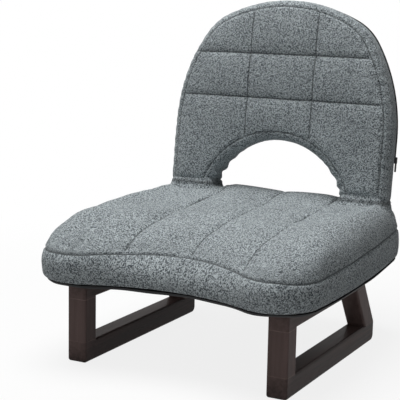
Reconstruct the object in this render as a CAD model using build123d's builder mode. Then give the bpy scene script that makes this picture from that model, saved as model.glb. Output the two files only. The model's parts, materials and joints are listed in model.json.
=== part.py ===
from build123d import *
import os
from math import atan2, cos, hypot, radians, sin, sqrt, tan

# A low floor chair: a padded seat on two wooden loop legs, and a padded backrest with an arch that folds
# forward onto the seat. Millimetres, X across the chair, -Y to the front, +Z up, the floor at Z = 0.
# The origin is on the floor, below the middle of the seat.

# Legs
leg_inset = 59.0
leg_stock = 30.0
leg_length = 335.0
leg_height = 123.0
leg_setback = 47.5
leg_edge_radius = 3.5
leg_corner_radius = 4.0
leg_heel_radius = 9.0
rear_post_lean = 34.0
rear_post_stock = 33.0
dowel_radius = 3.0
dowel_length = 24.0
dowel_spacing = 14.0
glue_gap = 0.05

# Leg bolts and tee nuts
front_bolt_setback = 45.0
rear_bolt_setback = 210.0
bolt_radius = 3.0
bolt_head_radius = 6.0
bolt_head_height = 4.0
bolt_head_depth = 5.0
bolt_gap = 0.2
tee_nut_flange_radius = 9.0
tee_nut_flange_thickness = 1.4
tee_nut_barrel_radius = 4.2
tee_nut_barrel_length = 9.0

# Seat, in plan at its widest line
seat_width = 430.0
seat_depth = 462.0
seat_widest_back = 148.0
lobe_radius = 62.0
side_bow_radius = 2000.0
rear_corner_radius = 60.0

# Seat, from the bottom up: height, insets from the widest line, depth of the front notch, rise to the rear
seat_hem_height = 14.0
seat_hem_inset = 4.0
seat_hem_notch = 35.0
boxing_height = 30.0
seam_inset_front = 10.0
seam_inset_side = 3.0
seam_inset_rear = 5.0
seam_notch = 50.0
shoulder_height = 22.0
shoulder_inset_front = 30.0
shoulder_inset_side = 6.0
shoulder_inset_rear = 12.0
shoulder_notch = 56.0
crown_height = 12.0
crown_inset_front = 66.0
crown_inset_side = 14.0
crown_inset_rear = 24.0
crown_notch = 60.0
top_height = 6.0
top_inset_front = 120.0
top_inset_side = 40.0
top_inset_rear = 54.0
top_notch = 62.0
seat_rise = 1.8

# Sewn channels of the seat
channel_spacing = 94.0
channel_radius = 8.0
channel_depth = 4.0
channel_bend_radius = 70.0

# Seat board and the cloth below it
board_thickness = 12.0
board_inset = 22.0
cloth_thickness = 1.2
cloth_hem_inset = 9.0
cloth_hem_width = 10.0
cloth_hem_drop = 5.0
pad_gap = 0.3

# Backrest: the hinge line, and the cushion around it
back_lean = 7.3
back_front = 26.0
back_rear = 32.0
hinge_back_offset = 73.0
hinge_lift = 27.6
back_inset = 32.0
back_top = 273.5
back_side_top = 70.0
back_side_radius = 275.0
back_shoulder_radius = 90.0
back_crown_radius = 233.0
foot_depth = 25.0
foot_round = 25.5
foot_gap = 1.5
foot_width = 66.0
arch_top = 61.0
back_boxing_front = 12.0
back_boxing_rear = 18.0
back_edge_inset = 7.0
back_edge_depth = 5.0
back_face_inset = 26.0

# Quilting of the backrest's front
quilt_column = 55.0
quilt_row_low = 120.0
quilt_row_high = 189.5
quilt_radius = 9.0
quilt_depth = 3.5

# Hinges, one in each foot
hinge_inset = 36.0
hinge_plate = 4.0
hinge_disc_radius = 21.0
hinge_strap_width = 26.0
hinge_flange_length = 40.0
hinge_flange_width = 50.0
hinge_flange_thickness = 4.0
hinge_room = 1.5
back_plate_width = 20.0
back_plate_eye = 12.0
back_plate_top = 84.0
pivot_radius = 4.0
pivot_head_radius = 7.0
pivot_head_height = 3.0
pivot_gap = 0.05
washer_thickness = 0.8
washer_radius = 9.0
clip_thickness = 1.2
clip_radius = 7.0
stop_radius = 3.0
stop_height = 12.0
stop_gap = 0.08
screw_radius = 2.0
screw_head_radius = 4.0
screw_length = 11.0

# Backrest frame
tube_radius = 8.0
tube_wall = 1.2
tube_foot = 30.0
tube_bend_height = 94.0
tube_top_height = 224.0
tube_top_width = 216.0
tube_bend_radius = 50.0
bar_radius = 6.0
bar_height = 90.0
frame_gap = 0.15

# Zipper on the slanted rear edge of the backrest
zip_margin = 0.8
zip_thickness = 1.2
zip_end = 34.0
zip_gap = 0.1
slider_length = 10.0
slider_thickness = 3.0
pull_length = 18.0
pull_width = 5.0
pull_thickness = 1.4

# Fabric sleeves around the hinges
sleeve_thickness = 5.0
sleeve_top = 12.0
sleeve_height = 36.0
sleeve_corner = 10.0

SIDES = (("left", -1), ("right", 1))

# Places worked out from the sizes above
leg_spacing = seat_width - 2 * leg_inset
leg_front_y = -seat_depth / 2 + leg_setback
leg_rear_y = leg_front_y + leg_length
leg_joint_low = leg_stock
leg_joint_high = leg_height - leg_stock
post_cut = rear_post_stock / cos(radians(rear_post_lean))
post_shift = tan(radians(rear_post_lean))
board_low = leg_height + cloth_thickness
board_high = board_low + board_thickness
seat_bottom = board_low
seat_widest = seat_bottom + seat_hem_height
seat_seam = seat_widest + boxing_height
seat_shoulder = seat_seam + shoulder_height
seat_crown = seat_shoulder + crown_height
seat_top = seat_crown + top_height
back_width = seat_width - 2 * back_inset
arch_radius = back_width / 2 - foot_width
hinge_x = back_width / 2 - hinge_inset
hinge_y = seat_depth / 2 - hinge_back_offset
hinge_z = seat_top + hinge_y * tan(radians(seat_rise)) + hinge_lift
lean_sin = sin(radians(back_lean))
lean_cos = cos(radians(back_lean))
washer_x = hinge_x + hinge_plate
back_plate_x = washer_x + washer_thickness
clip_x = back_plate_x + hinge_plate + pivot_gap
tube_x = back_plate_x + hinge_plate + tube_radius + glue_gap
cavity_radius = hinge_disc_radius + hinge_room
cavity_low_x = hinge_x - pivot_head_height - hinge_room
cavity_high_x = clip_x + clip_thickness + hinge_room
stop_offset = back_plate_width / 2 + stop_radius + stop_gap
rear_bend_depth = back_rear - back_edge_depth
rear_edge_angle = atan2(back_edge_inset, rear_bend_depth - back_boxing_rear)
zip_front = back_boxing_rear + zip_margin
zip_rear = rear_bend_depth - zip_margin
zip_width = (zip_rear - zip_front) / cos(rear_edge_angle)

# The backrest's own plane: its origin on the hinge line, Y up along the backrest, Z to its front
back_plane = Plane(origin=(0, hinge_y, hinge_z), x_dir=(1, 0, 0), z_dir=(0, -lean_cos, lean_sin))


def back_side_plane(x):
    """Plane square to the hinge line at x, with its X to the rear and its Y up along the backrest."""
    return Plane(origin=(x, hinge_y, hinge_z), x_dir=(0, lean_cos, -lean_sin), z_dir=(1, 0, 0))


def back_up_plane(x, height, front):
    """Plane square to the backrest's own up direction."""
    start = back_plane.from_local_coords((x, height, front))
    return Plane(origin=start, x_dir=(1, 0, 0), z_dir=(0, lean_sin, lean_cos))


def upright_plane(x):
    """Plane square to the hinge line at x, with its X to the rear and its Y straight up."""
    return Plane(origin=(x, hinge_y, hinge_z), x_dir=(0, 1, 0), z_dir=(1, 0, 0))


def low_x(sign, near, far):
    """Lower X of a span that runs from near to far out from the middle, on one side."""
    return min(sign * near, sign * far)


def toward(centre, point, radius):
    """Point of a circle in the direction of another point."""
    along = (point[0] - centre[0], point[1] - centre[1])
    scale = radius / hypot(*along)
    return (centre[0] + along[0] * scale, centre[1] + along[1] * scale)


def mirrored(point):
    return (-point[0], point[1])


def round_arc(centre, radius, start, end):
    """Arc of under a half circle between two points of a circle."""
    middle = ((start[0] + end[0]) / 2, (start[1] + end[1]) / 2)
    ThreePointArc(start, toward(centre, middle, radius), end)


def both_arcs(centre, radius, start, end):
    """An arc on the right and its mirror image on the left."""
    round_arc(centre, radius, start, end)
    round_arc(mirrored(centre), radius, mirrored(end), mirrored(start))


def seat_outline(plane, front, side, rear, notch):
    """Face of the seat's outline, drawn in from the widest line: lobed front, bowed sides, round rear."""
    share = 1 - side / (seat_width / 2)
    lobe = lobe_radius * share
    corner = rear_corner_radius * share
    front_y = -seat_depth / 2 + front
    rear_y = seat_depth / 2 - rear
    side_at = (seat_width / 2 - side_bow_radius, seat_widest_back - seat_depth / 2)
    side_radius = side_bow_radius - side
    lobe_y = front_y + lobe
    lobe_at = (side_at[0] + sqrt((side_radius - lobe) ** 2 - (lobe_y - side_at[1]) ** 2), lobe_y)
    notch_radius = (lobe_at[0] ** 2 + (lobe - notch) ** 2 - lobe**2) / (2 * notch)
    notch_at = (0, front_y + notch - notch_radius)
    corner_y = rear_y - corner
    corner_at = (side_at[0] + sqrt((side_radius - corner) ** 2 - (corner_y - side_at[1]) ** 2), corner_y)
    notch_end = toward(notch_at, lobe_at, notch_radius)
    lobe_end = toward(side_at, lobe_at, side_radius)
    side_end = toward(side_at, corner_at, side_radius)
    rear_end = (corner_at[0], rear_y)
    with BuildSketch(plane) as outline:
        with BuildLine():
            round_arc(notch_at, notch_radius, mirrored(notch_end), notch_end)
            both_arcs(lobe_at, lobe, notch_end, lobe_end)
            both_arcs(side_at, side_radius, lobe_end, side_end)
            both_arcs(corner_at, corner, side_end, rear_end)
            Line(rear_end, mirrored(rear_end))
        make_face()
    return outline.sketch


def even_outline(height, inset):
    """Seat outline at a level height, drawn in by the same inset all round."""
    return seat_outline(Plane.XY.offset(height), inset, inset, inset, seat_hem_notch)


def rising_plane(height):
    """Plane across the seat that rises to the rear, more so towards the top."""
    rise = radians(seat_rise) * (height - seat_widest) / (seat_top - seat_widest)
    return Plane(origin=(0, 0, height), x_dir=(1, 0, 0), z_dir=(0, -sin(rise), cos(rise)))


def front_point(outline, height, x):
    """Foremost point of a rising seat outline at a distance from its middle."""
    across = rising_plane(height)
    way = Axis(across.from_local_coords((x, 0, 0)), across.y_dir)
    crossings = [point for edge in outline.edges() for point in edge.find_intersection_points(way)]
    return min(crossings, key=lambda point: point.Y)


def back_outline(plane, inset):
    """Face of the backrest's outline: two feet, an arch between them, bowed sides and a round top."""
    half = back_width / 2
    crown_at = (0, back_top - back_crown_radius)
    side_at = (half - back_side_radius, back_side_top)
    crown_reach = back_crown_radius - back_shoulder_radius
    side_reach = back_side_radius - back_shoulder_radius
    apart = hypot(side_at[0] - crown_at[0], side_at[1] - crown_at[1])
    along = (crown_reach**2 - side_reach**2 + apart**2) / (2 * apart)
    across = sqrt(crown_reach**2 - along**2)
    way = ((side_at[0] - crown_at[0]) / apart, (side_at[1] - crown_at[1]) / apart)
    shoulder_x = crown_at[0] + along * way[0] + across * way[1]
    shoulder_y = crown_at[1] + along * way[1] - across * way[0]
    shoulder_at = (shoulder_x, shoulder_y)
    crown_radius = back_crown_radius - inset
    side_radius = back_side_radius - inset
    shoulder_radius = back_shoulder_radius - inset
    side_start = (half - inset, back_side_top)
    side_end = toward(side_at, shoulder_at, side_radius)
    crown_end = toward(crown_at, shoulder_at, crown_radius)
    arch_at = (0, arch_top - arch_radius)
    foot_inner = (sqrt((arch_radius + inset) ** 2 - (foot_depth + arch_at[1]) ** 2), -foot_depth)
    foot_outer = (half - inset, -foot_depth)
    with BuildSketch(plane) as outline:
        with BuildLine():
            round_arc(arch_at, arch_radius + inset, mirrored(foot_inner), foot_inner)
            Line(foot_inner, foot_outer)
            Line(foot_outer, side_start)
            both_arcs(side_at, side_radius, side_start, side_end)
            both_arcs(shoulder_at, shoulder_radius, side_end, crown_end)
            round_arc(crown_at, crown_radius, crown_end, mirrored(crown_end))
            Line(mirrored(side_start), mirrored(foot_outer))
            Line(mirrored(foot_outer), mirrored(foot_inner))
        make_face()
    return outline.sketch


def rear_edge_outline(depth, lift):
    """Outline of the slanted rear edge at a depth behind the hinge plane, lifted outward."""
    inset = (depth - back_boxing_rear) * tan(rear_edge_angle)
    return back_outline(back_plane.offset(-depth), inset - lift)


def dowel_places(sign):
    """Centres of the dowels of one leg, two in each of its four joints."""
    rear_low = leg_rear_y - post_cut / 2
    rear_high = rear_low - (leg_joint_high - leg_joint_low) * post_shift
    joints = (
        (leg_front_y + leg_stock / 2, leg_joint_low),
        (leg_front_y + leg_stock / 2, leg_joint_high),
        (rear_low, leg_joint_low),
        (rear_high, leg_joint_high),
    )
    leg_x = sign * leg_spacing / 2
    return [(leg_x + step * dowel_spacing / 2, y, z) for y, z in joints for step in (-1, 1)]


def bolt_places(sign):
    """Where the two bolts of one leg stand, in plan."""
    leg_x = sign * leg_spacing / 2
    return [(leg_x, leg_front_y + back) for back in (front_bolt_setback, rear_bolt_setback)]


def screw_places(sign):
    """Where the three screws of one hinge bracket stand, in plan."""
    near = sign * (hinge_x - hinge_flange_length * 0.25)
    far = sign * (hinge_x - hinge_flange_length * 0.7)
    reach = hinge_flange_width * 0.3
    return [(far, hinge_y - reach), (far, hinge_y + reach), (near, hinge_y)]


def save(part, name):
    part.label = name
    export_step(part, "parts/" + name + ".step")


os.makedirs("parts", exist_ok=True)

# Legs: each loop is shaped whole, then cut into its four members along the glue joints
for side_name, sign in SIDES:
    leg_x = sign * leg_spacing / 2 - leg_stock / 2
    middle_y = (leg_front_y + leg_rear_y) / 2
    with BuildPart() as leg_loop:
        with BuildSketch(Plane.YZ.offset(leg_x)) as leg_side:
            with BuildLine():
                Polyline(
                    (leg_front_y, 0),
                    (leg_rear_y, 0),
                    (leg_rear_y, leg_joint_low),
                    (leg_rear_y - (leg_height - leg_joint_low) * post_shift, leg_height),
                    (leg_front_y, leg_height),
                    close=True,
                )
            make_face()
            heel = leg_side.vertices().group_by(Axis.X)[-1]
            fillet(heel, leg_heel_radius)
            fillet(leg_side.vertices().group_by(Axis.X)[0], leg_corner_radius)
            with BuildLine():
                Polyline(
                    (leg_front_y + leg_stock, leg_joint_low),
                    (leg_rear_y - post_cut, leg_joint_low),
                    (leg_rear_y - post_cut - (leg_joint_high - leg_joint_low) * post_shift, leg_joint_high),
                    (leg_front_y + leg_stock, leg_joint_high),
                    close=True,
                )
            make_face(mode=Mode.SUBTRACT)
        extrude(amount=leg_stock)
        fillet(leg_loop.faces().filter_by(Axis.X).edges(), leg_edge_radius)
    members = (
        ("bottom_rail", leg_front_y, leg_rear_y, 0, leg_joint_low),
        ("top_rail", leg_front_y, leg_rear_y, leg_joint_high, leg_height),
        ("front_post", leg_front_y, middle_y, leg_joint_low, leg_joint_high),
        ("rear_post", middle_y, leg_rear_y, leg_joint_low, leg_joint_high),
    )
    for member_name, y_low, y_high, z_low, z_high in members:
        with BuildPart() as member:
            add(leg_loop.part)
            with BuildSketch(Plane.YZ.offset(leg_x)):
                with Locations(((y_low + y_high) / 2, (z_low + z_high) / 2)):
                    Rectangle(y_high - y_low, z_high - z_low)
            extrude(amount=leg_stock, mode=Mode.INTERSECT)
            with Locations(*dowel_places(sign)):
                Cylinder(dowel_radius + glue_gap, dowel_length + 2 * glue_gap, mode=Mode.SUBTRACT)
            if member_name == "top_rail":
                with BuildSketch(Plane.XY.offset(leg_joint_high)):
                    with Locations(*bolt_places(sign)):
                        Circle(bolt_radius + bolt_gap)
                extrude(amount=leg_stock, mode=Mode.SUBTRACT)
                with BuildSketch(Plane.XY.offset(leg_joint_high)):
                    with Locations(*bolt_places(sign)):
                        Circle(bolt_head_radius + bolt_gap)
                extrude(amount=bolt_head_depth, mode=Mode.SUBTRACT)
        save(member.part, side_name + "_" + member_name)

with BuildPart() as leg_dowels:
    with Locations(*dowel_places(-1), *dowel_places(1)):
        Cylinder(dowel_radius, dowel_length)
    chamfer(leg_dowels.edges().filter_by(GeomType.CIRCLE), dowel_radius / 4)
save(leg_dowels.part, "leg_dowels")

# Bolts up through the top rails into tee nuts that sit on the board
bolt_head_high = leg_joint_high + bolt_head_depth
with BuildPart() as leg_bolts:
    with BuildSketch(Plane.XY.offset(bolt_head_high - bolt_head_height)):
        with Locations(*bolt_places(-1), *bolt_places(1)):
            Circle(bolt_head_radius)
    extrude(amount=bolt_head_height)
    with BuildSketch(Plane.XY.offset(bolt_head_high - bolt_head_height)):
        with Locations(*bolt_places(-1), *bolt_places(1)):
            RegularPolygon(bolt_radius * 0.8, 6)
    extrude(amount=bolt_head_height / 2, mode=Mode.SUBTRACT)
    with BuildSketch(Plane.XY.offset(bolt_head_high)):
        with Locations(*bolt_places(-1), *bolt_places(1)):
            Circle(bolt_radius)
    extrude(amount=board_high - bolt_head_high)
save(leg_bolts.part, "leg_bolts")

with BuildPart() as tee_nuts:
    with BuildSketch(Plane.XY.offset(board_high)):
        with Locations(*bolt_places(-1), *bolt_places(1)):
            Circle(tee_nut_flange_radius)
    extrude(amount=tee_nut_flange_thickness)
    with BuildSketch(Plane.XY.offset(board_high)):
        with Locations(*bolt_places(-1), *bolt_places(1)):
            Circle(tee_nut_barrel_radius)
    extrude(amount=-tee_nut_barrel_length)
    with BuildSketch(Plane.XY.offset(board_high - tee_nut_barrel_length)):
        with Locations(*bolt_places(-1), *bolt_places(1)):
            Circle(bolt_radius + glue_gap)
    extrude(amount=tee_nut_barrel_length + tee_nut_flange_thickness, mode=Mode.SUBTRACT)
save(tee_nuts.part, "tee_nuts")

# Seat board, with holes for the bolts, the tee nuts' barrels and the bracket screws
with BuildPart() as seat_board:
    extrude(even_outline(board_low, board_inset), amount=board_thickness)
    with BuildSketch(Plane.XY.offset(board_low)):
        with Locations(*bolt_places(-1), *bolt_places(1)):
            Circle(bolt_radius + bolt_gap)
    extrude(amount=board_thickness, mode=Mode.SUBTRACT)
    with BuildSketch(Plane.XY.offset(board_high)):
        with Locations(*bolt_places(-1), *bolt_places(1)):
            Circle(tee_nut_barrel_radius + glue_gap)
    extrude(amount=-tee_nut_barrel_length - glue_gap, mode=Mode.SUBTRACT)
    with BuildSketch(Plane.XY.offset(board_high)):
        with Locations(*screw_places(-1), *screw_places(1)):
            Circle(screw_radius + glue_gap)
    extrude(amount=hinge_flange_thickness - screw_length - glue_gap, mode=Mode.SUBTRACT)
save(seat_board.part, "seat_board")

# Black cloth stretched under the board, with a folded hem that hangs a little below the fabric's edge
cloth_inner = cloth_hem_inset + cloth_hem_width
with BuildPart() as underside_cloth:
    extrude(even_outline(leg_height, cloth_hem_inset), amount=cloth_thickness)
    extrude(even_outline(leg_height, cloth_hem_inset), amount=-cloth_hem_drop)
    extrude(even_outline(leg_height, cloth_inner), amount=-cloth_hem_drop, mode=Mode.SUBTRACT)
    with BuildSketch(Plane.XY.offset(leg_height)):
        with Locations(*bolt_places(-1), *bolt_places(1)):
            Circle(bolt_radius + bolt_gap)
    extrude(amount=cloth_thickness, mode=Mode.SUBTRACT)
save(underside_cloth.part, "underside_cloth")

# Seat cushion: a boxing strip that rolls out to the widest line, a crowned top, and three sewn channels
seam_plane = rising_plane(seat_seam)
shoulder_plane = rising_plane(seat_shoulder)
crown_plane = rising_plane(seat_crown)
top_plane = rising_plane(seat_top)
seam = seat_outline(seam_plane, seam_inset_front, seam_inset_side, seam_inset_rear, seam_notch)
shoulder = seat_outline(
    shoulder_plane, shoulder_inset_front, shoulder_inset_side, shoulder_inset_rear, shoulder_notch
)
crown = seat_outline(crown_plane, crown_inset_front, crown_inset_side, crown_inset_rear, crown_notch)
top = seat_outline(top_plane, top_inset_front, top_inset_side, top_inset_rear, top_notch)
top_panel = ((seam, seat_seam), (shoulder, seat_shoulder), (crown, seat_crown), (top, seat_top))
channel_lift = channel_radius - channel_depth
top_rear_z = seat_top + seat_depth / 2 * tan(radians(seat_rise))
with BuildPart() as seat_cushion:
    loft([even_outline(seat_bottom, seat_hem_inset), even_outline(seat_widest, 0), seam])
    loft([seam, shoulder, crown, top])
    for step in (-1, 0, 1):
        channel_x = step * channel_spacing
        fronts = [front_point(outline, height, channel_x) for outline, height in top_panel]
        channel_path = [(front.Y, front.Z + channel_lift) for front in fronts]
        channel_path.append((seat_depth / 2, top_rear_z + channel_lift))
        with BuildLine(Plane.YZ.offset(channel_x)) as channel:
            FilletPolyline(*channel_path, radius=channel_bend_radius)
        channel_wire = channel.wires()[0]
        with BuildSketch(Plane(origin=channel_wire @ 0, z_dir=channel_wire % 0)):
            Circle(channel_radius)
        sweep(path=channel_wire, mode=Mode.SUBTRACT)
    board_room = even_outline(board_low, board_inset - pad_gap)
    extrude(board_room, amount=board_thickness + pad_gap, mode=Mode.SUBTRACT)
    with BuildSketch(Plane.XY.offset(board_high)):
        with Locations(*bolt_places(-1), *bolt_places(1)):
            Circle(tee_nut_flange_radius + pad_gap)
    extrude(amount=tee_nut_flange_thickness + 2 * pad_gap, mode=Mode.SUBTRACT)
    for side_name, sign in SIDES:
        flange_low = low_x(sign, hinge_x - hinge_flange_length, hinge_x + hinge_plate)
        with BuildSketch(Plane.XY.offset(board_high)):
            with Locations((flange_low + (hinge_flange_length + hinge_plate) / 2, hinge_y)):
                Rectangle(hinge_flange_length + hinge_plate + 2 * pad_gap, hinge_flange_width + 2 * pad_gap)
        extrude(amount=hinge_flange_thickness + 2 * pad_gap, mode=Mode.SUBTRACT)
        with BuildSketch(Plane.XY.offset(board_high)):
            with Locations((sign * (hinge_x + hinge_plate / 2), hinge_y)):
                Rectangle(hinge_plate + 2 * pad_gap, hinge_strap_width + 2 * pad_gap)
        extrude(amount=hinge_z - board_high, mode=Mode.SUBTRACT)
save(seat_cushion.part, "seat_cushion")

# Hinges
for side_name, sign in SIDES:
    strap_low = low_x(sign, hinge_x, hinge_x + hinge_plate)
    with BuildPart() as seat_bracket:
        with BuildSketch(upright_plane(strap_low)):
            Circle(hinge_disc_radius)
            with Locations((0, (board_high - hinge_z) / 2)):
                Rectangle(hinge_strap_width, hinge_z - board_high)
        extrude(amount=hinge_plate)
        with BuildSketch(Plane.XY.offset(board_high)):
            with Locations((sign * (hinge_x - hinge_flange_length / 2), hinge_y)):
                Rectangle(hinge_flange_length, hinge_flange_width)
        extrude(amount=hinge_flange_thickness)
        with BuildSketch(Plane.XY.offset(board_high)):
            with Locations(*screw_places(sign)):
                Circle(screw_radius + glue_gap)
        extrude(amount=hinge_flange_thickness, mode=Mode.SUBTRACT)
        with BuildSketch(Plane.XY.offset(board_high + hinge_flange_thickness / 2)):
            with Locations(*screw_places(sign)):
                Circle(screw_head_radius + glue_gap)
        extrude(amount=hinge_flange_thickness / 2, mode=Mode.SUBTRACT)
        with BuildSketch(back_side_plane(strap_low)):
            Circle(pivot_radius + glue_gap)
            with Locations((stop_offset, stop_height)):
                Circle(stop_radius + glue_gap)
        extrude(amount=hinge_plate, mode=Mode.SUBTRACT)
    save(seat_bracket.part, side_name + "_seat_bracket")

    plate_low = low_x(sign, back_plate_x, back_plate_x + hinge_plate)
    with BuildPart() as back_plate:
        with BuildSketch(back_side_plane(plate_low)):
            Circle(back_plate_eye)
            with Locations((0, back_plate_top / 2)):
                Rectangle(back_plate_width, back_plate_top)
            Circle(pivot_radius + pivot_gap, mode=Mode.SUBTRACT)
        extrude(amount=hinge_plate)
    save(back_plate.part, side_name + "_back_plate")

    head_low = low_x(sign, hinge_x - pivot_head_height, hinge_x)
    pin_low = low_x(sign, hinge_x, clip_x + clip_thickness)
    with BuildPart() as pivot_pin:
        with BuildSketch(back_side_plane(head_low)):
            Circle(pivot_head_radius)
        extrude(amount=pivot_head_height)
        with BuildSketch(back_side_plane(pin_low)):
            Circle(pivot_radius)
        extrude(amount=clip_x + clip_thickness - hinge_x)
    save(pivot_pin.part, side_name + "_pivot_pin")

    stop_low = low_x(sign, hinge_x, back_plate_x + hinge_plate)
    with BuildPart() as stop_pin:
        with BuildSketch(back_side_plane(stop_low)):
            with Locations((stop_offset, stop_height)):
                Circle(stop_radius)
        extrude(amount=back_plate_x + hinge_plate - hinge_x)
    save(stop_pin.part, side_name + "_stop_pin")

with BuildPart() as hinge_washers:
    for side_name, sign in SIDES:
        with BuildSketch(back_side_plane(low_x(sign, washer_x, back_plate_x))):
            Circle(washer_radius)
            Circle(pivot_radius + pivot_gap, mode=Mode.SUBTRACT)
        extrude(amount=washer_thickness)
save(hinge_washers.part, "hinge_washers")

with BuildPart() as pivot_clips:
    for side_name, sign in SIDES:
        with BuildSketch(back_side_plane(low_x(sign, clip_x, clip_x + clip_thickness))):
            Circle(clip_radius)
            Circle(pivot_radius + glue_gap, mode=Mode.SUBTRACT)
            with Locations((clip_radius, 0)):
                Rectangle(2 * clip_radius, 2 * pivot_radius * 0.8, mode=Mode.SUBTRACT)
        extrude(amount=clip_thickness)
save(pivot_clips.part, "pivot_clips")

with BuildPart() as bracket_screws:
    with BuildSketch(Plane.XY.offset(board_high + hinge_flange_thickness - screw_length)):
        with Locations(*screw_places(-1), *screw_places(1)):
            Circle(screw_radius)
    extrude(amount=screw_length)
    with BuildSketch(Plane.XY.offset(board_high + hinge_flange_thickness / 2)):
        with Locations(*screw_places(-1), *screw_places(1)):
            Circle(screw_head_radius)
    extrude(amount=hinge_flange_thickness / 2)
save(bracket_screws.part, "bracket_screws")

# Backrest frame: a bent tube from one back plate over the top to the other, and a bar above the arch
tube_path = (
    (tube_x, tube_foot),
    (tube_x, tube_bend_height),
    (tube_top_width / 2, tube_top_height),
    (-tube_top_width / 2, tube_top_height),
    (-tube_x, tube_bend_height),
    (-tube_x, tube_foot),
)
with BuildLine(back_plane) as tube_line:
    FilletPolyline(*tube_path, radius=tube_bend_radius)
tube_wire = tube_line.wires()[0]
with BuildPart() as back_tube:
    with BuildSketch(back_up_plane(tube_x, tube_foot, 0)):
        Circle(tube_radius)
        Circle(tube_radius - tube_wall, mode=Mode.SUBTRACT)
    sweep(path=tube_wire)
save(back_tube.part, "back_tube")

with BuildPart() as tube_room:
    with BuildSketch(back_up_plane(tube_x, tube_foot, 0)):
        Circle(tube_radius + frame_gap)
    sweep(path=tube_wire)

with BuildPart() as back_bar:
    with BuildSketch(back_side_plane(-tube_x)):
        with Locations((0, bar_height)):
            Circle(bar_radius)
    extrude(amount=2 * tube_x)
    add(tube_room.part, mode=Mode.SUBTRACT)
    keep = back_bar.solids().sort_by(SortBy.VOLUME)[-1]
with BuildPart() as back_cross_bar:
    add(keep)
save(back_cross_bar.part, "back_cross_bar")

# Back cushion: a straight boxing strip, a crowned front and rear, quilting, room for the hinges and frame
with BuildPart() as back_cushion:
    boxing_outline = back_outline(back_plane.offset(-back_boxing_rear), 0)
    extrude(boxing_outline, amount=back_boxing_rear + back_boxing_front)
    front_edge = back_outline(back_plane.offset(back_boxing_front), 0)
    front_bend = back_outline(back_plane.offset(back_front - back_edge_depth), back_edge_inset)
    front_face = back_outline(back_plane.offset(back_front), back_face_inset)
    loft([front_edge, front_bend, front_face])
    rear_bend = rear_edge_outline(rear_bend_depth, 0)
    loft([rear_edge_outline(back_boxing_rear, 0), rear_bend])
    loft([rear_bend, back_outline(back_plane.offset(-back_rear), back_face_inset)])
    quilt_lift = back_front + quilt_radius - quilt_depth
    for row in (quilt_row_low, quilt_row_high):
        with BuildSketch(back_side_plane(-back_width / 2)):
            with Locations((-quilt_lift, row)):
                Circle(quilt_radius)
        extrude(amount=back_width, mode=Mode.SUBTRACT)
    for column in (-quilt_column, quilt_column):
        with BuildSketch(back_up_plane(column, 0, quilt_lift)):
            Circle(quilt_radius)
        extrude(amount=back_top, mode=Mode.SUBTRACT)
    with BuildSketch(back_side_plane(-back_width / 2)):
        with Locations((-back_width / 4, -back_width / 4)):
            Rectangle(back_width / 2, back_width / 2)
        Circle(foot_round, mode=Mode.SUBTRACT)
    extrude(amount=back_width, mode=Mode.SUBTRACT)
    with BuildSketch(rising_plane(seat_top).offset(foot_gap)):
        Rectangle(2 * back_width, 2 * seat_depth)
    extrude(amount=-foot_depth, mode=Mode.SUBTRACT)
    add(tube_room.part, mode=Mode.SUBTRACT)
    with BuildSketch(back_side_plane(-tube_x)):
        with Locations((0, bar_height)):
            Circle(bar_radius + frame_gap)
    extrude(amount=2 * tube_x, mode=Mode.SUBTRACT)
    for side_name, sign in SIDES:
        with BuildSketch(back_side_plane(low_x(sign, cavity_low_x, cavity_high_x))):
            Circle(cavity_radius)
        extrude(amount=cavity_high_x - cavity_low_x, mode=Mode.SUBTRACT)
        with BuildSketch(back_side_plane(low_x(sign, back_plate_x - frame_gap, tube_x))):
            with Locations((0, (back_plate_top + frame_gap) / 2)):
                Rectangle(back_plate_width + 2 * frame_gap, back_plate_top + frame_gap)
        extrude(amount=tube_x - back_plate_x + frame_gap, mode=Mode.SUBTRACT)
        slot_edge = hinge_strap_width / 2 + hinge_room + foot_depth * lean_sin
        slot_reach = back_width / 2
        slot_low = low_x(sign, hinge_x - hinge_room, hinge_x + hinge_plate + hinge_room)
        with BuildSketch(back_side_plane(slot_low)):
            with Locations(((slot_edge - slot_reach) / 2, (slot_edge - slot_reach) / 2)):
                Rectangle(slot_edge + slot_reach, slot_edge + slot_reach)
        extrude(amount=hinge_plate + 2 * hinge_room, mode=Mode.SUBTRACT)
save(back_cushion.part, "back_cushion")

# Zipper: a band on the slanted rear edge, from one side over the top to the other, and its slider with a pull
zip_lift = zip_gap + zip_thickness
with BuildPart() as zip_tape:
    loft([rear_edge_outline(zip_front, zip_lift), rear_edge_outline(zip_rear, zip_lift)])
    loft([rear_edge_outline(zip_front, zip_gap), rear_edge_outline(zip_rear, zip_gap)], mode=Mode.SUBTRACT)
    with BuildSketch(back_plane.offset(-zip_rear)):
        with Locations((0, zip_end - back_width / 2)):
            Rectangle(2 * back_width, back_width)
        with Locations((0, (arch_top + bar_height) / 2 - back_width / 2)):
            Rectangle(back_width - 4 * zip_width, back_width)
    extrude(amount=zip_rear - zip_front, mode=Mode.SUBTRACT)
save(zip_tape.part, "zip_tape")

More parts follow.
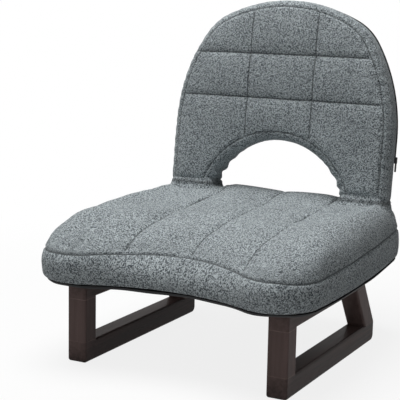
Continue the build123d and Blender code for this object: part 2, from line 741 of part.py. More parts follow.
slider_depth = (zip_front + zip_rear) / 2
slider_x = back_width / 2 + zip_lift - (slider_depth - back_boxing_rear) * tan(rear_edge_angle)
edge_sin = sin(rear_edge_angle)
edge_cos = cos(rear_edge_angle)
slider_plane = Plane(
    origin=back_plane.from_local_coords((slider_x, 0, -slider_depth)),
    x_dir=(-edge_sin, edge_cos * lean_cos, -edge_cos * lean_sin),
    z_dir=(edge_cos, edge_sin * lean_cos, -edge_sin * lean_sin),
)
with BuildPart() as zip_slider:
    with BuildSketch(slider_plane):
        with Locations((0, zip_end + slider_length / 2)):
            RectangleRounded(zip_width * 0.9, slider_length, zip_width / 5)
    extrude(amount=slider_thickness)
    with BuildSketch(slider_plane.offset(slider_thickness - pull_thickness)):
        with Locations((0, zip_end + slider_length / 2 - pull_length / 2)):
            RectangleRounded(pull_width, pull_length, pull_width / 3)
    extrude(amount=pull_thickness)
save(zip_slider.part, "zip_slider")

# Gathered fabric sleeves that hang from the lower ends of the feet onto the seat
sleeve_mid_z = (back_front - back_rear) / 2
for side_name, sign in SIDES:
    foot_inner_x = sqrt(arch_radius**2 - (arch_top - arch_radius + sleeve_top) ** 2)
    room_low = foot_inner_x - pad_gap
    room_high = back_width / 2 + pad_gap
    room_width = room_high - room_low
    room_depth = back_front + back_rear + 2 * pad_gap
    with BuildPart() as hinge_sleeve:
        with BuildSketch(back_up_plane(sign * (room_low + room_high) / 2, -sleeve_top, sleeve_mid_z)):
            sleeve_width = room_width + 2 * sleeve_thickness
            sleeve_depth = room_depth + 2 * sleeve_thickness
            RectangleRounded(sleeve_width, sleeve_depth, sleeve_corner)
            Rectangle(room_width, room_depth, mode=Mode.SUBTRACT)
        extrude(amount=-sleeve_height)
        add(seat_cushion.part, mode=Mode.SUBTRACT)
    save(hinge_sleeve.part, side_name + "_hinge_sleeve")
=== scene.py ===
import json
import math

import bpy
import numpy as np
from mathutils import Matrix, Vector
from mathutils.bvhtree import BVHTree


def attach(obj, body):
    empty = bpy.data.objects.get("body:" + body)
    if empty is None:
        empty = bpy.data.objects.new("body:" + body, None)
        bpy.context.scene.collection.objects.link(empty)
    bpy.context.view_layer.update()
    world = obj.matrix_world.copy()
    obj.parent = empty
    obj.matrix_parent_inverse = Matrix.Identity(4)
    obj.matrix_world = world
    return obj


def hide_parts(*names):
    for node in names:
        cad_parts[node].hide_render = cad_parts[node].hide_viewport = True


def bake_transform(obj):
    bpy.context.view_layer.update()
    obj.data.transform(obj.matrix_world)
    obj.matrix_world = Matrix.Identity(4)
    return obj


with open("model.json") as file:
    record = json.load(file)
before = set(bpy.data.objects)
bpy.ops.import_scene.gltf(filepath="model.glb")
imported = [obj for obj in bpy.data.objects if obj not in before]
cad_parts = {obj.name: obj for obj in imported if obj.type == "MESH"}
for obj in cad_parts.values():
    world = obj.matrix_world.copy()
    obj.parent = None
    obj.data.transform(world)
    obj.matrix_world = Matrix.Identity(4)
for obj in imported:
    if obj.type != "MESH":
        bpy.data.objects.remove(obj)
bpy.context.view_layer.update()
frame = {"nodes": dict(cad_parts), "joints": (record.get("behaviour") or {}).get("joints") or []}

# Sizes in millimetres. Most are the part's own; the arch and the feet follow the photo more closely.
# Meshes are worked out in millimetres and stored in metres.
MM = 0.001
SEAT_WIDTH = 430.0
SEAT_DEPTH = 462.0
SEAT_WIDEST_BACK = 148.0
LOBE_RADIUS = 62.0
SIDE_BOW_RADIUS = 2000.0
REAR_CORNER_RADIUS = 60.0
SEAT_WIDEST = 138.2
SEAT_TOP = 208.2
SEAT_RISE = math.radians(1.8)
SEAT_SEAM = 168.5

BACK_LEAN = math.radians(7.3)
BACK_HALF = 183.0
BACK_TOP = 273.5
BACK_SIDE_TOP = 70.0
BACK_SIDE_RADIUS = 275.0
BACK_SHOULDER_RADIUS = 90.0
BACK_CROWN_RADIUS = 233.0
FOOT_DEPTH = 22.0
FOOT_ROUND = 28.0
RIGHT_FOOT = 1.22
ARCH_RADIUS = 120.0
ARCH_TOP = 57.5
QUILT_COLUMN = 55.0
QUILT_ROWS = (120.0, 189.5)
REAR_EDGE_START = 18.0
REAR_EDGE_DEPTH = 9.0
REAR_EDGE_INSET = 7.0
ZIP_END = 34.0
ZIP_LIFT = 1.3
ZIP_MIDDLE = REAR_EDGE_START + REAR_EDGE_DEPTH / 2
REAR_EDGE_ANGLE = math.atan2(REAR_EDGE_INSET, REAR_EDGE_DEPTH)

HINGE = np.array(frame["joints"][0]["pos_m"]) / MM
BACK_UP = np.array((0.0, math.sin(BACK_LEAN), math.cos(BACK_LEAN)))
BACK_FORWARD = np.array((0.0, -math.cos(BACK_LEAN), math.sin(BACK_LEAN)))
ACROSS = np.array((1.0, 0.0, 0.0))
BACK_AXES = np.stack((ACROSS, BACK_UP, BACK_FORWARD))


def from_back(points):
    """Points given across, up along and forward of the backrest from the hinge line, in the chair's frame."""
    return HINGE + np.asarray(points, float) @ BACK_AXES


def to_back(points):
    """The other way: points of the chair's frame in the backrest's directions."""
    return (np.asarray(points, float) - HINGE) @ BACK_AXES.T


# Mesh helpers

VOXEL = 4.0
PRESSURE = 12.0
SIM_FRAMES = 20
PUCKER_AT = 5


def new_piece(name, points, faces):
    mesh = bpy.data.meshes.new(name)
    mesh.from_pydata((np.asarray(points, float) * MM).tolist(), [], faces)
    mesh.update()
    piece = bpy.data.objects.new(name, mesh)
    bpy.context.scene.collection.objects.link(piece)
    return piece


def get_points(piece):
    flat = np.zeros(len(piece.data.vertices) * 3, np.float32)
    piece.data.vertices.foreach_get("co", flat)
    return flat.reshape(-1, 3).astype(float) / MM


def set_points(piece, points):
    piece.data.vertices.foreach_set("co", (points * MM).astype(np.float32).ravel())
    piece.data.update()


def get_normals(piece):
    flat = np.zeros(len(piece.data.vertices) * 3, np.float32)
    piece.data.vertex_normals.foreach_get("vector", flat)
    return flat.reshape(-1, 3).astype(float)


def apply_modifiers(piece):
    graph = bpy.context.evaluated_depsgraph_get()
    mesh = bpy.data.meshes.new_from_object(piece.evaluated_get(graph))
    piece.modifiers.clear()
    old = piece.data
    piece.data = mesh
    bpy.data.meshes.remove(old)
    mesh.name = piece.name


def smooth_shading(piece):
    piece.data.polygons.foreach_set("use_smooth", [True] * len(piece.data.polygons))
    piece.data.update()


def store(piece, name, values):
    """Keep a number or a vector on each vertex, for the materials."""
    values = np.asarray(values, np.float32)
    if values.ndim == 1:
        attribute = piece.data.attributes.new(name, "FLOAT", "POINT")
        attribute.data.foreach_set("value", values)
    else:
        attribute = piece.data.attributes.new(name, "FLOAT_VECTOR", "POINT")
        attribute.data.foreach_set("vector", values.ravel())


def remesh(piece):
    modifier = piece.modifiers.new("remesh", "REMESH")
    modifier.mode = "VOXEL"
    modifier.voxel_size = VOXEL * MM
    modifier = piece.modifiers.new("smooth", "SMOOTH")
    modifier.factor = 0.5
    modifier.iterations = 4
    apply_modifiers(piece)


def subdivide(piece):
    modifier = piece.modifiers.new("subdivide", "SUBSURF")
    modifier.levels = 1
    modifier.render_levels = 1
    apply_modifiers(piece)
    smooth_shading(piece)


def inflate(piece, held, cap):
    """Blow the cover up like a filled cushion, with the seams held, and keep each point within the cap."""
    rest = get_points(piece)
    group = piece.vertex_groups.new(name="held")
    group.add(np.flatnonzero(held).tolist(), 1.0, "REPLACE")
    cloth = piece.modifiers.new("cloth", "CLOTH")
    settings = cloth.settings
    settings.quality = 4
    settings.mass = 0.3
    settings.tension_stiffness = 12
    settings.compression_stiffness = 12
    settings.shear_stiffness = 6
    settings.bending_stiffness = 0.8
    settings.use_pressure = True
    settings.uniform_pressure_force = PRESSURE
    settings.effector_weights.gravity = 0
    settings.vertex_group_mass = "held"
    settings.pin_stiffness = 1
    cloth.collision_settings.use_collision = False
    cloth.point_cache.frame_start = 1
    cloth.point_cache.frame_end = SIM_FRAMES
    scene = bpy.context.scene
    for step in range(1, SIM_FRAMES + 1):
        scene.frame_set(step)
    apply_modifiers(piece)
    scene.frame_set(1)
    piece.vertex_groups.clear()
    moved = get_points(piece) - rest
    length = np.linalg.norm(moved, axis=1)
    scale = np.minimum(1, cap / np.maximum(length, 1e-9))
    set_points(piece, rest + moved * scale[:, None])


def step_up(low, high, values):
    """0 below low, 1 above high, smooth between."""
    share = np.clip((np.asarray(values, float) - low) / (high - low), 0, 1)
    return share * share * (3 - 2 * share)


def bell(distance, width):
    return np.exp(-((distance / width) ** 2))


def groove(distance, depth, width):
    """The narrow cut of a sewn line."""
    return depth * bell(distance, width)


def roll(distance, depth, width):
    """The wide hollow on both sides of a sewn line."""
    return depth * np.exp(-np.abs(distance) / width)


def beside(distance, width):
    """1 a little to either side of a sewn line, where the cloth puckers."""
    return bell(np.abs(distance) - PUCKER_AT, width)


def puckers(place, wavelength, unevenness):
    return np.sin(place * (2 * math.pi / wavelength) + unevenness)


def ripple(points, wavelength, seed, waves=7):
    """Gentle unevenness of about -1 to 1, the same each run."""
    rng = np.random.default_rng(seed)
    total = np.zeros(len(points))
    for _ in range(waves):
        way = rng.normal(size=3)
        way /= np.linalg.norm(way)
        length = wavelength * rng.uniform(0.7, 1.5)
        total += np.sin(points @ way * (2 * math.pi / length) + rng.uniform(0, 2 * math.pi))
    return total / math.sqrt(waves)


def toward(centre, point, radius):
    along = np.subtract(point, centre)
    return np.add(centre, along * (radius / np.hypot(*along)))


def arc(centre, radius, start, end, count):
    """Points along the shorter arc between two points of a circle, the end left out."""
    first = math.atan2(start[1] - centre[1], start[0] - centre[0])
    last = math.atan2(end[1] - centre[1], end[0] - centre[0])
    sweep = (last - first + math.pi) % (2 * math.pi) - math.pi
    angles = first + sweep * np.arange(count) / count
    return np.stack((centre[0] + radius * np.cos(angles), centre[1] + radius * np.sin(angles)), 1)


def line(start, end, count):
    shares = (np.arange(count) / count)[:, None]
    return np.asarray(start, float) * (1 - shares) + np.asarray(end, float) * shares


def both_sides(right):
    """A closed outline from its right half, whose two ends are on the middle line."""
    return np.concatenate((right, right[-2:0:-1] * (-1, 1)))


def loft_faces(rows, count):
    faces = []
    for row in range(rows - 1):
        for i in range(count):
            j = (i + 1) % count
            faces.append((row * count + i, row * count + j, (row + 1) * count + j, (row + 1) * count + i))
    return faces


def closed_loft(name, rings):
    count = len(rings[0])
    faces = loft_faces(len(rings), count)
    faces.append(tuple(range(count - 1, -1, -1)))
    faces.append(tuple(range((len(rings) - 1) * count, len(rings) * count)))
    return new_piece(name, np.concatenate(rings), faces)


def between_rings(rings, steps):
    """More rings, on a smooth curve through the given ones."""
    rings = [2 * rings[0] - rings[1], *rings, 2 * rings[-1] - rings[-2]]
    found = []
    for a, b, c, d in zip(rings, rings[1:], rings[2:], rings[3:]):
        for k in range(steps):
            t = k / steps
            square = (2 * a - 5 * b + 4 * c - d) * t**2
            cube = (3 * b - a - 3 * c + d) * t**3
            found.append(0.5 * (2 * b + (c - a) * t + square + cube))
    found.append(rings[-2])
    return found


def outline_distance(points, outline):
    """Distance of flat points from a closed outline, and how far along it the nearest place is."""
    ends = np.roll(outline, -1, 0)
    along = ends - outline
    lengths = np.hypot(along[:, 0], along[:, 1])
    starts = np.concatenate(((0,), np.cumsum(lengths)[:-1]))
    best = np.full(len(points), 1e9)
    place = np.zeros(len(points))
    for a, way, length, start in zip(outline, along, lengths, starts):
        share = np.clip((points - a) @ way / length**2, 0, 1)
        gap = np.hypot(*(points - a - share[:, None] * way).T)
        nearer = gap < best
        best[nearer] = gap[nearer]
        place[nearer] = (start + share * length)[nearer]
    return best, place


# Materials


def node(tree, kind, sockets=None, **settings):
    made = tree.nodes.new(kind)
    for key, value in settings.items():
        setattr(made, key, value)
    for key, value in (sockets or {}).items():
        if isinstance(value, bpy.types.NodeSocket):
            tree.links.new(value, made.inputs[key])
        else:
            made.inputs[key].default_value = value
    return made


def maths(tree, operation, *values):
    return node(tree, "ShaderNodeMath", dict(enumerate(values)), operation=operation).outputs[0]


def stored(tree, name):
    """The outputs of a value stored on the mesh."""
    return node(tree, "ShaderNodeAttribute", attribute_name=name).outputs


def mix_colour(tree, share, a, b, blend="MIX"):
    made = tree.nodes.new("ShaderNodeMix")
    made.data_type = "RGBA"
    made.blend_type = blend
    for index, value in ((0, share), (6, a), (7, b)):
        if isinstance(value, bpy.types.NodeSocket):
            tree.links.new(value, made.inputs[index])
        else:
            made.inputs[index].default_value = value if index == 0 else (*value, 1)
    return made.outputs[2]


def spread(tree, value, low, high, to_low=0.0, to_high=1.0):
    sockets = {"Value": value, "From Min": low, "From Max": high, "To Min": to_low, "To Max": to_high}
    return node(tree, "ShaderNodeMapRange", sockets).outputs[0]


def new_material(name):
    material = bpy.data.materials.new(name)
    material.use_nodes = True
    tree = material.node_tree
    return material, tree, tree.nodes["Principled BSDF"]


def noise(tree, vector, scale, detail=2.0, roughness=0.5):
    sockets = {"Vector": vector, "Scale": scale, "Detail": detail, "Roughness": roughness}
    return node(tree, "ShaderNodeTexNoise", sockets).outputs["Fac"]


def linear(red, green, blue):
    """A colour written as on a screen, 0 to 255, in linear light."""
    found = []
    for value in (red, green, blue):
        value = value / 255
        found.append(value / 12.92 if value <= 0.04045 else ((value + 0.055) / 1.055) ** 2.4)
    return tuple(found)


YARN = 1.5
YARN_DARK = linear(80, 87, 91)
YARN_LIGHT = linear(202, 211, 214)


def make_fabric():
    """Mottled grey cloth: a plain weave of yarns that change tone along their length. Painted shade darkens
    the gaps between yarns, the seams, the stitched lines and the sleeves' fold valleys, and a painted shadow
    falls on the sleeves under the backrest's feet.
    """
    material, tree, shader = new_material("grey_fabric")
    cloth = stored(tree, "weave")["Vector"]
    parts = node(tree, "ShaderNodeSeparateXYZ", {"Vector": cloth})
    wobble = spread(tree, noise(tree, cloth, 0.35, 1.0), 0.3, 0.7, -0.25, 0.25)
    along_u = maths(tree, "ADD", maths(tree, "DIVIDE", parts.outputs["X"], YARN), wobble)
    along_v = maths(tree, "ADD", maths(tree, "DIVIDE", parts.outputs["Y"], YARN), wobble)
    cell_u = maths(tree, "FLOOR", along_u)
    cell_v = maths(tree, "FLOOR", along_v)
    over = maths(tree, "PINGPONG", maths(tree, "ADD", cell_u, cell_v), 1.0)
    round_u = maths(tree, "SINE", maths(tree, "MULTIPLY", maths(tree, "FRACT", along_u), math.pi))
    round_v = maths(tree, "SINE", maths(tree, "MULTIPLY", maths(tree, "FRACT", along_v), math.pi))
    warp_sockets = {"X": maths(tree, "MULTIPLY", cell_u, 7.31), "Y": along_v, "Z": parts.outputs["Z"]}
    weft_sockets = {"X": along_u, "Y": maths(tree, "MULTIPLY", cell_v, 5.17), "Z": 40.0}
    warp_place = node(tree, "ShaderNodeCombineXYZ", warp_sockets).outputs[0]
    weft_place = node(tree, "ShaderNodeCombineXYZ", weft_sockets).outputs[0]
    warp_tone = noise(tree, warp_place, 0.6, 1.0)
    weft_tone = noise(tree, weft_place, 0.6, 1.0)
    yarn_tone = node(tree, "ShaderNodeMix", {0: over, 2: warp_tone, 3: weft_tone}).outputs[0]
    fleck = noise(tree, cloth, 0.62, 1.0)
    tone = maths(tree, "ADD", maths(tree, "MULTIPLY", yarn_tone, 0.6), maths(tree, "MULTIPLY", fleck, 0.4))
    tone = spread(tree, tone, 0.425, 0.575)
    colour = mix_colour(tree, tone, YARN_DARK, YARN_LIGHT)
    broad = spread(tree, noise(tree, cloth, 0.012, 2.0), 0.3, 0.7, 0.93, 1.07)
    height_warp = maths(tree, "MULTIPLY", round_u, spread(tree, round_v, 0.0, 1.0, 0.45, 1.0))
    height_weft = maths(tree, "MULTIPLY", round_v, spread(tree, round_u, 0.0, 1.0, 0.45, 1.0))
    height = node(tree, "ShaderNodeMix", {0: over, 2: height_warp, 3: height_weft}).outputs[0]
    # Painted shade in the gaps between the yarns.
    gap_shade = spread(tree, height, 0.0, 0.6, 0.62, 1.0)
    # Painted shade: the cloth is darker along the seams.
    seam = maths(tree, "ABSOLUTE", stored(tree, "seam")["Fac"])
    seam_shade = spread(tree, seam, 0.5, 1.6, 0.5, 1.0)
    # Painted shade along the stitched channels and quilting lines, and in the sleeves' fold valleys.
    stitch_and_fold_shade = maths(tree, "ABSOLUTE", stored(tree, "stitch_and_fold_shade")["Fac"])
    seam_shade = maths(tree, "MULTIPLY", seam_shade, spread(tree, stitch_and_fold_shade, 0.6, 1.6, 0.42, 1.0))
    # The cloth's own broad tone, times the painted shade.
    tone_and_shade = maths(tree, "MULTIPLY", maths(tree, "MULTIPLY", broad, gap_shade), seam_shade)
    tone_and_shade_colour = node(tree, "ShaderNodeCombineColor", {0: tone_and_shade, 1: tone_and_shade, 2: tone_and_shade}).outputs[0]
    colour = mix_colour(tree, 1.0, colour, tone_and_shade_colour, "MULTIPLY")
    bump_height = maths(tree, "ADD", height, maths(tree, "MULTIPLY", fleck, 0.9))
    bump = node(tree, "ShaderNodeBump", {"Strength": 0.55, "Distance": 0.0005, "Height": bump_height})
    tree.links.new(colour, shader.inputs["Base Color"])
    tree.links.new(bump.outputs[0], shader.inputs["Normal"])
    shader.inputs["Roughness"].default_value = 0.95
    shader.inputs["Specular IOR Level"].default_value = 0.15
    shader.inputs["Sheen Weight"].default_value = 0.12
    shader.inputs["Sheen Roughness"].default_value = 0.5
    return material


# Heights of the joint lines on the legs, and where a line fades beside its middle, in metres
LEG_JOINTS = (0.030, 0.093)
JOINT_LINE = (0.0003, 0.0011)


def make_wood(name, along, dark, light, joint, rough, coat):
    """Straight grained wood, its grain along one direction."""
    material, tree, shader = new_material(name)
    place = node(tree, "ShaderNodeTexCoord").outputs["Object"]
    scale = [180.0, 180.0, 180.0]
    scale["XYZ".index(along)] = 7.0
    stretched = node(tree, "ShaderNodeMapping", {"Vector": place, "Scale": scale}).outputs[0]
    fibre = noise(tree, stretched, 1.0, 4.0, 0.6)
    broad_scale = [35.0, 35.0, 35.0]
    broad_scale["XYZ".index(along)] = 3.0
    wide = node(tree, "ShaderNodeMapping", {"Vector": place, "Scale": broad_scale}).outputs[0]
    broad = noise(tree, wide, 1.0, 3.0)
    grain = maths(tree, "ADD", maths(tree, "MULTIPLY", fibre, 0.6), maths(tree, "MULTIPLY", broad, 0.4))
    colour = mix_colour(tree, spread(tree, grain, 0.36, 0.66), dark, light)
    height = node(tree, "ShaderNodeSeparateXYZ", {0: place}).outputs["Z"]
    upper = maths(tree, "ABSOLUTE", maths(tree, "SUBTRACT", height, LEG_JOINTS[1]))
    lower = maths(tree, "ABSOLUTE", maths(tree, "SUBTRACT", height, LEG_JOINTS[0]))
    upper_line = spread(tree, upper, *JOINT_LINE, 0.45, 0.0)
    lower_line = spread(tree, lower, *JOINT_LINE, 0.25, 0.0)
    patches = spread(tree, noise(tree, place, 90.0), 0.35, 0.6, 0.3, 1.0)
    line_share = maths(tree, "MULTIPLY", maths(tree, "ADD", upper_line, lower_line), patches)
    colour = mix_colour(tree, line_share, colour, joint)
    # Sharp edges are drawn lighter.
    edge = spread(tree, node(tree, "ShaderNodeNewGeometry").outputs["Pointiness"], 0.52, 0.60, 0.0, 0.35)
    lighter_edge = tuple(min(1.0, value * 2.2) for value in light)
    colour = mix_colour(tree, edge, colour, lighter_edge)
    tree.links.new(colour, shader.inputs["Base Color"])
    tree.links.new(spread(tree, fibre, 0.3, 0.7, rough - 0.05, rough + 0.08), shader.inputs["Roughness"])
    bump = node(tree, "ShaderNodeBump", {"Strength": 0.2, "Distance": 0.0003, "Height": fibre})
    tree.links.new(bump.outputs[0], shader.inputs["Normal"])
    shader.inputs["Specular IOR Level"].default_value = 0.02
    shader.inputs["Coat Weight"].default_value = coat
    shader.inputs["Coat Roughness"].default_value = 0.2
    return material


PLAIN_BUMP = 0.0002


def make_plain(name, dark, light, scale, rough, metal=0.0):
    """A plain material with a little unevenness, for metal, tape and black cloth."""
    material, tree, shader = new_material(name)
    place = node(tree, "ShaderNodeTexCoord").outputs["Object"]
    fine = noise(tree, place, scale, 3.0, 0.6)
    colour = mix_colour(tree, spread(tree, fine, 0.3, 0.7), dark, light)
    tree.links.new(colour, shader.inputs["Base Color"])
    tree.links.new(spread(tree, fine, 0.3, 0.7, rough - 0.06, rough + 0.06), shader.inputs["Roughness"])
    bump = node(tree, "ShaderNodeBump", {"Strength": 0.4, "Distance": PLAIN_BUMP, "Height": fine})
    tree.links.new(bump.outputs[0], shader.inputs["Normal"])
    shader.inputs["Metallic"].default_value = metal
    return material


fabric = make_fabric()
WOOD_DARK = linear(56, 48, 46)
WOOD_LIGHT = linear(99, 83, 80)
WOOD_JOINT = linear(190, 165, 155)
PLY_DARK = linear(170, 130, 88)
PLY_LIGHT = linear(205, 168, 120)
dark_wood_level = make_wood("dark_wood_level", "Y", WOOD_DARK, WOOD_LIGHT, WOOD_LIGHT, 0.42, 0.09)
dark_wood_upright = make_wood("dark_wood_upright", "Z", WOOD_DARK, WOOD_LIGHT, WOOD_JOINT, 0.42, 0.09)
plain_wood = make_wood("plain_wood", "X", PLY_DARK, PLY_LIGHT, PLY_LIGHT, 0.6, 0.0)
black_cloth = make_plain("black_cloth", linear(14, 14, 15), linear(34, 34, 36), 900.0, 0.9)
zip_tape_cloth = make_plain("zip_tape_cloth", linear(12, 12, 13), linear(30, 30, 32), 1400.0, 0.8)
black_metal = make_plain("black_metal", linear(20, 20, 21), linear(38, 38, 40), 300.0, 0.45, 0.6)
steel = make_plain("steel", linear(150, 152, 155), linear(185, 187, 190), 250.0, 0.35, 1.0)


def dress(piece, material):
    piece.data.materials.clear()
    piece.data.materials.append(material)


# Seat cushion


def seat_outline(front, side, rear, notch, lobe_share=1.0):
    """The seat's outline in plan, drawn in from its widest line, with the same count of points each time."""
    share = 1 - side / (SEAT_WIDTH / 2)
    lobe = LOBE_RADIUS * share * lobe_share
    corner = REAR_CORNER_RADIUS * share
    front_y = -SEAT_DEPTH / 2 + front
    rear_y = SEAT_DEPTH / 2 - rear
    side_at = (SEAT_WIDTH / 2 - SIDE_BOW_RADIUS, SEAT_WIDEST_BACK - SEAT_DEPTH / 2)
    side_radius = SIDE_BOW_RADIUS - side
    lobe_y = front_y + lobe
    lobe_at = (side_at[0] + math.sqrt((side_radius - lobe) ** 2 - (lobe_y - side_at[1]) ** 2), lobe_y)
    notch_radius = (lobe_at[0] ** 2 + (lobe - notch) ** 2 - lobe**2) / (2 * notch)
    notch_at = (0, front_y + notch - notch_radius)
    corner_y = rear_y - corner
    corner_at = (side_at[0] + math.sqrt((side_radius - corner) ** 2 - (corner_y - side_at[1]) ** 2), corner_y)
    notch_end = toward(notch_at, lobe_at, notch_radius)
    lobe_end = toward(side_at, lobe_at, side_radius)
    side_end = toward(side_at, corner_at, side_radius)
    rear_end = (corner_at[0], rear_y)
    right = np.concatenate(
        (
            arc(notch_at, notch_radius, (0, front_y + notch), notch_end, 16),
            arc(lobe_at, lobe, notch_end, lobe_end, 22),
            arc(side_at, side_radius, lobe_end, side_end, 26),
            arc(corner_at, corner, side_end, rear_end, 14),
            line(rear_end, (0, rear_y), 14),
            [(0, rear_y)],
        )
    )
    return both_sides(right)


def seat_ring(height, front, side, rear, notch, lobe_share=1.0):
    flat = seat_outline(front, side, rear, notch, lobe_share)
    rise = math.tan(SEAT_RISE * max(0.0, (height - SEAT_WIDEST) / (SEAT_TOP - SEAT_WIDEST)))
    return np.column_stack((flat, height + flat[:, 1] * rise))


# Height, how far the front, side and rear are drawn in, depth of the front notch, share of the lobes' radius
SEAT_LEVELS = (
    (124.0, 7.0, 7.0, 7.0, 35.0, 1.0),
    (126.5, 2.5, 2.5, 2.5, 35.0, 1.0),
    (132.0, 0.6, 0.6, 0.6, 35.0, 1.0),
    (140.0, 0.0, 0.0, 0.0, 36.0, 1.0),
    (150.0, -0.4, -0.2, 0.2, 40.0, 1.0),
    (160.0, 2.0, 0.4, 1.2, 46.0, 1.0),
    (SEAT_SEAM, 8.2, 2.2, 4.0, 50.0, 0.98),
    (176.0, 13.5, 2.6, 6.5, 53.0, 0.96),
    (184.0, 21.0, 3.6, 10.5, 55.0, 0.92),
    (191.0, 32.0, 5.6, 16.0, 57.0, 0.86),
    (197.0, 47.0, 8.4, 23.0, 58.0, 0.8),
    (202.0, 70.0, 12.0, 33.0, 58.0, 0.75),
    (205.5, 98.0, 17.5, 47.0, 56.0, 0.7),
    (208.0, 135.0, 28.0, 66.0, 52.0, 0.66),
    (209.0, 175.0, 45.0, 90.0, 45.0, 0.6),
    (209.3, 210.0, 72.0, 115.0, 35.0, 0.55),
)
CHANNEL_SPACING = 94.0
CHANNEL_SHIFT = 10.0
CHANNEL_SLANT = -0.03
TOP_STRETCH = 0.7
# Forms of the seat's top: height, place, width, and the ranges over which each begins or ends
TOP_ZONE = (176, 204)
BOLSTER_HEIGHT = 6.0
BOLSTER_AT = 184
BOLSTER_WIDTH = 26
BOLSTER_FRONT = (-205, -110)
BOLSTER_REAR = (90, 200)
DISH_DEPTH = 3.0
DISH_WIDTH = 95
CREST_HEIGHT = 6.5
CREST_TILT = 0.015
CREST_SHIFT = 10
CREST_SIDES = (80, 150)
CREST_AT = 165
CREST_WIDTH = 48
# The outer panels are lowered, as room for the folded backrest
PANEL_DROP = 5.5
PANEL_INNER = (92, 108)
PANEL_OUTER = (160, 186)
PANEL_FRONT = (-90, 10)
SIDE_DROP = 4.4
SIDE_DROP_AT = (172, 95)
SIDE_DROP_WIDTH = (16, 50)
RIGHT_NARROWING = 2.5
RIGHT_ZONE = (120, 215)
# What the simulation holds, and how far it may move the rest
SEAT_HELD_BELOW = 130
SEAT_SEAM_HELD = 3
CHANNEL_HELD = 2.6
SEAT_SWELL = 5.0
# The boxing seam rises in the middle of the front and sinks at the lobes
SEAM_LIFT = 4
SEAM_LIFT_WIDTH = 110
SEAM_LIFT_END = (-120, 0)
SEAM_SINK = 2
SEAM_SINK_ZONE = (165, 205)
SEAM_FLATTEST = 0.35
# Sewn lines: depth and width of the groove and of the roll, depth of the puckers
SEAT_SEAM_GROOVE = (2.0, 1.9)
SEAT_SEAM_PUCKER = 0.45
SEAT_SEAM_ZONE = (128, 134)
CHANNEL_GROOVE = (1.8, 1.8)
CHANNEL_ROLL = (3.2, 15)
CHANNEL_PUCKER = 0.35
SEAT_UNEVEN = 0.7
SEAT_UNEVEN_ZONE = (126, 140)
UNDERFACE = 125.2
SHRINK = 0.5
# Stored for points away from any sewn line, and the weave's layers that keep the panels' patterns apart
FAR = 99.0
WEAVE_BOXING = 30
WEAVE_BACK_SIDE = 60
WEAVE_REAR = 90.0
WEAVE_SLEEVE = 120.0


def seam_gap(points, normals):
    """Signed distance from the seat's boxing seam, along the surface."""
    rise = math.tan(SEAT_RISE * (SEAT_SEAM - SEAT_WIDEST) / (SEAT_TOP - SEAT_WIDEST))
    across = np.abs(points[:, 0])
    lift = SEAM_LIFT * bell(across, SEAM_LIFT_WIDTH) - SEAM_SINK * step_up(*SEAM_SINK_ZONE, across)
    lift = lift * (1 - step_up(*SEAM_LIFT_END, points[:, 1]))
    height = points[:, 2] - SEAT_SEAM - lift - points[:, 1] * rise
    return height / np.maximum(SEAM_FLATTEST, np.sqrt(1 - np.minimum(1, normals[:, 2] ** 2)))


def channel_across(points):
    """How far to the right of the seat's middle channel."""
    return points[:, 0] - CHANNEL_SHIFT - CHANNEL_SLANT * points[:, 1]


def channel_gap(points):
    """Signed distance from the nearest of the seat's three sewn channels."""
    across = channel_across(points)
    nearest = np.clip(np.round(across / CHANNEL_SPACING), -1, 1) * CHANNEL_SPACING
    return across - nearest


